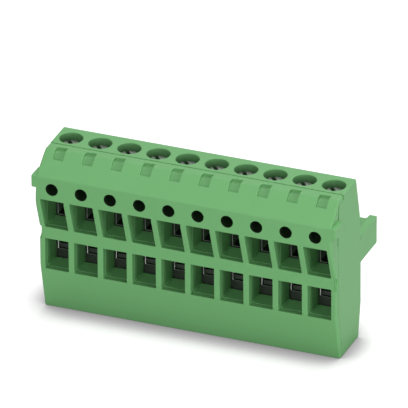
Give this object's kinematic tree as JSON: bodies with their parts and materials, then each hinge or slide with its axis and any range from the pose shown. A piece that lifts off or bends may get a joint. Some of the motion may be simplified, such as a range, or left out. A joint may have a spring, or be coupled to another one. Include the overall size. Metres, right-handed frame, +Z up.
{
  "type": "pluggable terminal block",
  "caption": "Screw-clamp plug for a pin header: a tall moulded block with a row of screws on top, stacked rows of wire entries in front and a plug nose behind.",
  "frame": {"origin": "on the base plane, at the middle of the row and of the base's depth", "axes": "X along the row of poles, -Y towards the wire entries, +Y towards the plug nose, +Z up"},
  "size_m": [0.053, 0.0203, 0.0289],
  "materials": {
    "body": "fine satin moulding",
    "screw": "zinc plated",
    "sleeve": "nickel plated",
    "contact": "tin plated"
  },
  "bodies": {
    "block": {"housing": "body", "entry_cover": "body", "contact_01": "contact", "contact_02": "contact", "contact_03": "contact", "contact_04": "contact", "contact_05": "contact", "contact_06": "contact", "contact_07": "contact", "contact_08": "contact", "contact_09": "contact", "contact_10": "contact"},
    "upper_sleeve_01": {"upper_sleeve_01": "sleeve"},
    "upper_screw_01": {"upper_screw_01": "screw"},
    "lower_sleeve_01": {"lower_sleeve_01": "sleeve"},
    "lower_screw_01": {"lower_screw_01": "screw"},
    "upper_sleeve_02": {"upper_sleeve_02": "sleeve"},
    "upper_screw_02": {"upper_screw_02": "screw"},
    "lower_sleeve_02": {"lower_sleeve_02": "sleeve"},
    "lower_screw_02": {"lower_screw_02": "screw"},
    "upper_sleeve_03": {"upper_sleeve_03": "sleeve"},
    "upper_screw_03": {"upper_screw_03": "screw"},
    "lower_sleeve_03": {"lower_sleeve_03": "sleeve"},
    "lower_screw_03": {"lower_screw_03": "screw"},
    "upper_sleeve_04": {"upper_sleeve_04": "sleeve"},
    "upper_screw_04": {"upper_screw_04": "screw"},
    "lower_sleeve_04": {"lower_sleeve_04": "sleeve"},
    "lower_screw_04": {"lower_screw_04": "screw"},
    "upper_sleeve_05": {"upper_sleeve_05": "sleeve"},
    "upper_screw_05": {"upper_screw_05": "screw"},
    "lower_sleeve_05": {"lower_sleeve_05": "sleeve"},
    "lower_screw_05": {"lower_screw_05": "screw"},
    "upper_sleeve_06": {"upper_sleeve_06": "sleeve"},
    "upper_screw_06": {"upper_screw_06": "screw"},
    "lower_sleeve_06": {"lower_sleeve_06": "sleeve"},
    "lower_screw_06": {"lower_screw_06": "screw"},
    "upper_sleeve_07": {"upper_sleeve_07": "sleeve"},
    "upper_screw_07": {"upper_screw_07": "screw"},
    "lower_sleeve_07": {"lower_sleeve_07": "sleeve"},
    "lower_screw_07": {"lower_screw_07": "screw"},
    "upper_sleeve_08": {"upper_sleeve_08": "sleeve"},
    "upper_screw_08": {"upper_screw_08": "screw"},
    "lower_sleeve_08": {"lower_sleeve_08": "sleeve"},
    "lower_screw_08": {"lower_screw_08": "screw"},
    "upper_sleeve_09": {"upper_sleeve_09": "sleeve"},
    "upper_screw_09": {"upper_screw_09": "screw"},
    "lower_sleeve_09": {"lower_sleeve_09": "sleeve"},
    "lower_screw_09": {"lower_screw_09": "screw"},
    "upper_sleeve_10": {"upper_sleeve_10": "sleeve"},
    "upper_screw_10": {"upper_screw_10": "screw"},
    "lower_sleeve_10": {"lower_sleeve_10": "sleeve"},
    "lower_screw_10": {"lower_screw_10": "screw"}
  },
  "joints": [
    {"name": "upper_screw_01_turn", "type": "hinge", "parent": "block", "child": "upper_screw_01", "pos_m": [-0.02286, 0.0007, 0.02775], "axis": [0, 0, -1], "range_deg": [0, 1800]},
    {"name": "upper_sleeve_01_lift", "type": "slide", "parent": "block", "child": "upper_sleeve_01", "axis": [0, 0, 1], "range_m": [0, 0.0025]},
    {"name": "lower_screw_01_turn", "type": "hinge", "parent": "block", "child": "lower_screw_01", "pos_m": [-0.02286, 0.0007, 0.00115], "axis": [0, 0, 1], "range_deg": [0, 1800]},
    {"name": "lower_sleeve_01_lift", "type": "slide", "parent": "block", "child": "lower_sleeve_01", "axis": [0, 0, -1], "range_m": [0, 0.0025]},
    {"name": "upper_screw_02_turn", "type": "hinge", "parent": "block", "child": "upper_screw_02", "pos_m": [-0.01778, 0.0007, 0.02775], "axis": [0, 0, -1], "range_deg": [0, 1800]},
    {"name": "upper_sleeve_02_lift", "type": "slide", "parent": "block", "child": "upper_sleeve_02", "axis": [0, 0, 1], "range_m": [0, 0.0025]},
    {"name": "lower_screw_02_turn", "type": "hinge", "parent": "block", "child": "lower_screw_02", "pos_m": [-0.01778, 0.0007, 0.00115], "axis": [0, 0, 1], "range_deg": [0, 1800]},
    {"name": "lower_sleeve_02_lift", "type": "slide", "parent": "block", "child": "lower_sleeve_02", "axis": [0, 0, -1], "range_m": [0, 0.0025]},
    {"name": "upper_screw_03_turn", "type": "hinge", "parent": "block", "child": "upper_screw_03", "pos_m": [-0.0127, 0.0007, 0.02775], "axis": [0, 0, -1], "range_deg": [0, 1800]},
    {"name": "upper_sleeve_03_lift", "type": "slide", "parent": "block", "child": "upper_sleeve_03", "axis": [0, 0, 1], "range_m": [0, 0.0025]},
    {"name": "lower_screw_03_turn", "type": "hinge", "parent": "block", "child": "lower_screw_03", "pos_m": [-0.0127, 0.0007, 0.00115], "axis": [0, 0, 1], "range_deg": [0, 1800]},
    {"name": "lower_sleeve_03_lift", "type": "slide", "parent": "block", "child": "lower_sleeve_03", "axis": [0, 0, -1], "range_m": [0, 0.0025]},
    {"name": "upper_screw_04_turn", "type": "hinge", "parent": "block", "child": "upper_screw_04", "pos_m": [-0.00762, 0.0007, 0.02775], "axis": [0, 0, -1], "range_deg": [0, 1800]},
    {"name": "upper_sleeve_04_lift", "type": "slide", "parent": "block", "child": "upper_sleeve_04", "axis": [0, 0, 1], "range_m": [0, 0.0025]},
    {"name": "lower_screw_04_turn", "type": "hinge", "parent": "block", "child": "lower_screw_04", "pos_m": [-0.00762, 0.0007, 0.00115], "axis": [0, 0, 1], "range_deg": [0, 1800]},
    {"name": "lower_sleeve_04_lift", "type": "slide", "parent": "block", "child": "lower_sleeve_04", "axis": [0, 0, -1], "range_m": [0, 0.0025]},
    {"name": "upper_screw_05_turn", "type": "hinge", "parent": "block", "child": "upper_screw_05", "pos_m": [-0.00254, 0.0007, 0.02775], "axis": [0, 0, -1], "range_deg": [0, 1800]},
    {"name": "upper_sleeve_05_lift", "type": "slide", "parent": "block", "child": "upper_sleeve_05", "axis": [0, 0, 1], "range_m": [0, 0.0025]},
    {"name": "lower_screw_05_turn", "type": "hinge", "parent": "block", "child": "lower_screw_05", "pos_m": [-0.00254, 0.0007, 0.00115], "axis": [0, 0, 1], "range_deg": [0, 1800]},
    {"name": "lower_sleeve_05_lift", "type": "slide", "parent": "block", "child": "lower_sleeve_05", "axis": [0, 0, -1], "range_m": [0, 0.0025]},
    {"name": "upper_screw_06_turn", "type": "hinge", "parent": "block", "child": "upper_screw_06", "pos_m": [0.00254, 0.0007, 0.02775], "axis": [0, 0, -1], "range_deg": [0, 1800]},
    {"name": "upper_sleeve_06_lift", "type": "slide", "parent": "block", "child": "upper_sleeve_06", "axis": [0, 0, 1], "range_m": [0, 0.0025]},
    {"name": "lower_screw_06_turn", "type": "hinge", "parent": "block", "child": "lower_screw_06", "pos_m": [0.00254, 0.0007, 0.00115], "axis": [0, 0, 1], "range_deg": [0, 1800]},
    {"name": "lower_sleeve_06_lift", "type": "slide", "parent": "block", "child": "lower_sleeve_06", "axis": [0, 0, -1], "range_m": [0, 0.0025]},
    {"name": "upper_screw_07_turn", "type": "hinge", "parent": "block", "child": "upper_screw_07", "pos_m": [0.00762, 0.0007, 0.02775], "axis": [0, 0, -1], "range_deg": [0, 1800]},
    {"name": "upper_sleeve_07_lift", "type": "slide", "parent": "block", "child": "upper_sleeve_07", "axis": [0, 0, 1], "range_m": [0, 0.0025]},
    {"name": "lower_screw_07_turn", "type": "hinge", "parent": "block", "child": "lower_screw_07", "pos_m": [0.00762, 0.0007, 0.00115], "axis": [0, 0, 1], "range_deg": [0, 1800]},
    {"name": "lower_sleeve_07_lift", "type": "slide", "parent": "block", "child": "lower_sleeve_07", "axis": [0, 0, -1], "range_m": [0, 0.0025]},
    {"name": "upper_screw_08_turn", "type": "hinge", "parent": "block", "child": "upper_screw_08", "pos_m": [0.0127, 0.0007, 0.02775], "axis": [0, 0, -1], "range_deg": [0, 1800]},
    {"name": "upper_sleeve_08_lift", "type": "slide", "parent": "block", "child": "upper_sleeve_08", "axis": [0, 0, 1], "range_m": [0, 0.0025]},
    {"name": "lower_screw_08_turn", "type": "hinge", "parent": "block", "child": "lower_screw_08", "pos_m": [0.0127, 0.0007, 0.00115], "axis": [0, 0, 1], "range_deg": [0, 1800]},
    {"name": "lower_sleeve_08_lift", "type": "slide", "parent": "block", "child": "lower_sleeve_08", "axis": [0, 0, -1], "range_m": [0, 0.0025]},
    {"name": "upper_screw_09_turn", "type": "hinge", "parent": "block", "child": "upper_screw_09", "pos_m": [0.01778, 0.0007, 0.02775], "axis": [0, 0, -1], "range_deg": [0, 1800]},
    {"name": "upper_sleeve_09_lift", "type": "slide", "parent": "block", "child": "upper_sleeve_09", "axis": [0, 0, 1], "range_m": [0, 0.0025]},
    {"name": "lower_screw_09_turn", "type": "hinge", "parent": "block", "child": "lower_screw_09", "pos_m": [0.01778, 0.0007, 0.00115], "axis": [0, 0, 1], "range_deg": [0, 1800]},
    {"name": "lower_sleeve_09_lift", "type": "slide", "parent": "block", "child": "lower_sleeve_09", "axis": [0, 0, -1], "range_m": [0, 0.0025]},
    {"name": "upper_screw_10_turn", "type": "hinge", "parent": "block", "child": "upper_screw_10", "pos_m": [0.02286, 0.0007, 0.02775], "axis": [0, 0, -1], "range_deg": [0, 1800]},
    {"name": "upper_sleeve_10_lift", "type": "slide", "parent": "block", "child": "upper_sleeve_10", "axis": [0, 0, 1], "range_m": [0, 0.0025]},
    {"name": "lower_screw_10_turn", "type": "hinge", "parent": "block", "child": "lower_screw_10", "pos_m": [0.02286, 0.0007, 0.00115], "axis": [0, 0, 1], "range_deg": [0, 1800]},
    {"name": "lower_sleeve_10_lift", "type": "slide", "parent": "block", "child": "lower_sleeve_10", "axis": [0, 0, -1], "range_m": [0, 0.0025]}
  ],
  "couplings": [
    {"joint": "upper_screw_01_turn", "follows": "upper_sleeve_01_lift", "rad_per_m": 12566},
    {"joint": "lower_screw_01_turn", "follows": "lower_sleeve_01_lift", "rad_per_m": 12566},
    {"joint": "upper_screw_02_turn", "follows": "upper_sleeve_02_lift", "rad_per_m": 12566},
    {"joint": "lower_screw_02_turn", "follows": "lower_sleeve_02_lift", "rad_per_m": 12566},
    {"joint": "upper_screw_03_turn", "follows": "upper_sleeve_03_lift", "rad_per_m": 12566},
    {"joint": "lower_screw_03_turn", "follows": "lower_sleeve_03_lift", "rad_per_m": 12566},
    {"joint": "upper_screw_04_turn", "follows": "upper_sleeve_04_lift", "rad_per_m": 12566},
    {"joint": "lower_screw_04_turn", "follows": "lower_sleeve_04_lift", "rad_per_m": 12566},
    {"joint": "upper_screw_05_turn", "follows": "upper_sleeve_05_lift", "rad_per_m": 12566},
    {"joint": "lower_screw_05_turn", "follows": "lower_sleeve_05_lift", "rad_per_m": 12566},
    {"joint": "upper_screw_06_turn", "follows": "upper_sleeve_06_lift", "rad_per_m": 12566},
    {"joint": "lower_screw_06_turn", "follows": "lower_sleeve_06_lift", "rad_per_m": 12566},
    {"joint": "upper_screw_07_turn", "follows": "upper_sleeve_07_lift", "rad_per_m": 12566},
    {"joint": "lower_screw_07_turn", "follows": "lower_sleeve_07_lift", "rad_per_m": 12566},
    {"joint": "upper_screw_08_turn", "follows": "upper_sleeve_08_lift", "rad_per_m": 12566},
    {"joint": "lower_screw_08_turn", "follows": "lower_sleeve_08_lift", "rad_per_m": 12566},
    {"joint": "upper_screw_09_turn", "follows": "upper_sleeve_09_lift", "rad_per_m": 12566},
    {"joint": "lower_screw_09_turn", "follows": "lower_sleeve_09_lift", "rad_per_m": 12566},
    {"joint": "upper_screw_10_turn", "follows": "upper_sleeve_10_lift", "rad_per_m": 12566},
    {"joint": "lower_screw_10_turn", "follows": "lower_sleeve_10_lift", "rad_per_m": 12566}
  ]
}
